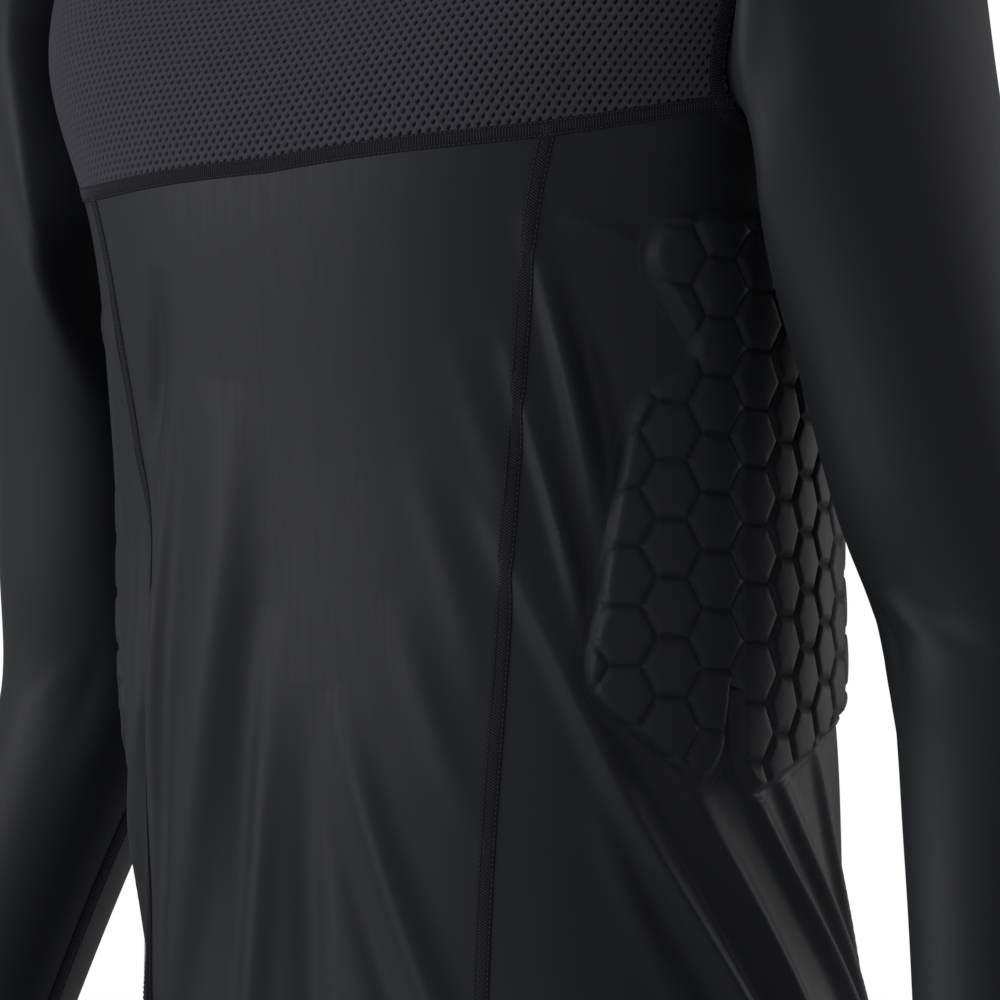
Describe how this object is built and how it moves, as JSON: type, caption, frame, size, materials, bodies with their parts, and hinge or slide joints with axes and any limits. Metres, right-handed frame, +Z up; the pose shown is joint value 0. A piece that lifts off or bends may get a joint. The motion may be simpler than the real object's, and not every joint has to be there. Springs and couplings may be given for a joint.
{
  "type": "padded compression shirt",
  "caption": "Long-sleeved stretch shirt worn as a hollow form, with a mesh chest yoke, side panels and raised honeycomb rib pads.",
  "frame": {"origin": "on the shoulder line in the middle of the neck opening, level with the highest points of the shoulder seams, where the wearer holds the shirt", "axes": "+Z up, the chest faces -Y, the wearer's left arm is at +X"},
  "size_m": [0.642, 0.296, 0.7359],
  "materials": {
    "stretch_cloth": "smooth nylon and elastane knit with a soft sheen, charcoal",
    "mesh_knit": "dull eyelet mesh knit, dark grey"
  },
  "bodies": {
    "root": {"front_yoke": "mesh_knit", "front_panel": "stretch_cloth", "side_panel_left": "stretch_cloth", "side_panel_right": "stretch_cloth", "back_panel": "stretch_cloth", "sleeve_left": "stretch_cloth", "sleeve_right": "stretch_cloth", "collar": "stretch_cloth"}
  },
  "joints": []
}
